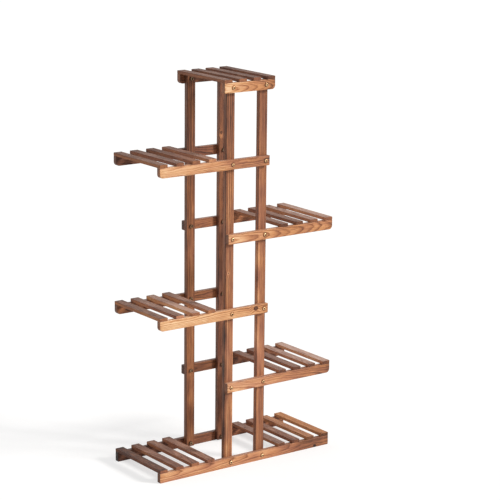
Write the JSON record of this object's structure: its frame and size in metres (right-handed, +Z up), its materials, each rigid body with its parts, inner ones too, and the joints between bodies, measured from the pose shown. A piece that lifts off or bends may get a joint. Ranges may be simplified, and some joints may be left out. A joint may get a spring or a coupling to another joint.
{
  "type": "tiered plant stand",
  "caption": "Ladder-like charred pine plant stand: a narrow frame of flat posts carries slatted shelves that reach out to the left and right at alternating heights.",
  "frame": {"origin": "on the floor, under the middle of the stand", "axes": "+X along the rails, from the left shelves to the right shelves; +Y from the front to the back; +Z up"},
  "size_m": [0.64, 0.2566, 1.198],
  "materials": {
    "rail_wood": "charred, brushed and clear-varnished pine, honey to amber, satin",
    "post_wood": "charred, brushed and clear-varnished pine, red-brown, satin",
    "slat_wood": "charred, brushed and clear-varnished pine, grey-brown, satin",
    "bolt_metal": "dull brass-plated steel",
    "nut_metal": "zinc-plated steel",
    "brad_metal": "plain steel"
  },
  "bodies": {
    "root": {"bolts_back": "bolt_metal", "bolts_front": "bolt_metal", "bottom_brads": "brad_metal", "bottom_rail_back": "rail_wood", "bottom_rail_front": "rail_wood", "bottom_slat_1": "slat_wood", "bottom_slat_2": "slat_wood", "bottom_slat_3": "slat_wood", "bottom_slat_4": "slat_wood", "bottom_slat_5": "slat_wood", "bottom_slat_6": "slat_wood", "bottom_slat_7": "slat_wood", "bottom_slat_8": "slat_wood", "lower_left_brads": "brad_metal", "lower_left_rail_back": "rail_wood", "lower_left_rail_front": "rail_wood", "lower_left_slat_1": "slat_wood", "lower_left_slat_2": "slat_wood", "lower_left_slat_3": "slat_wood", "lower_left_slat_4": "slat_wood", "lower_right_brads": "brad_metal", "lower_right_rail_back": "rail_wood", "lower_right_rail_front": "rail_wood", "lower_right_slat_1": "slat_wood", "lower_right_slat_2": "slat_wood", "lower_right_slat_3": "slat_wood", "lower_right_slat_4": "slat_wood", "nuts_back": "nut_metal", "nuts_front": "nut_metal", "post_back_left": "post_wood", "post_back_right": "post_wood", "post_front_left": "post_wood", "post_front_right": "post_wood", "top_brads": "brad_metal", "top_rail_back": "rail_wood", "top_rail_front": "rail_wood", "top_slat_1": "slat_wood", "top_slat_2": "slat_wood", "top_slat_3": "slat_wood", "top_slat_4": "slat_wood", "upper_left_brads": "brad_metal", "upper_left_rail_back": "rail_wood", "upper_left_rail_front": "rail_wood", "upper_left_slat_1": "slat_wood", "upper_left_slat_2": "slat_wood", "upper_left_slat_3": "slat_wood", "upper_left_slat_4": "slat_wood", "upper_right_brads": "brad_metal", "upper_right_rail_back": "rail_wood", "upper_right_rail_front": "rail_wood", "upper_right_slat_1": "slat_wood", "upper_right_slat_2": "slat_wood", "upper_right_slat_3": "slat_wood", "upper_right_slat_4": "slat_wood"}
  },
  "joints": []
}
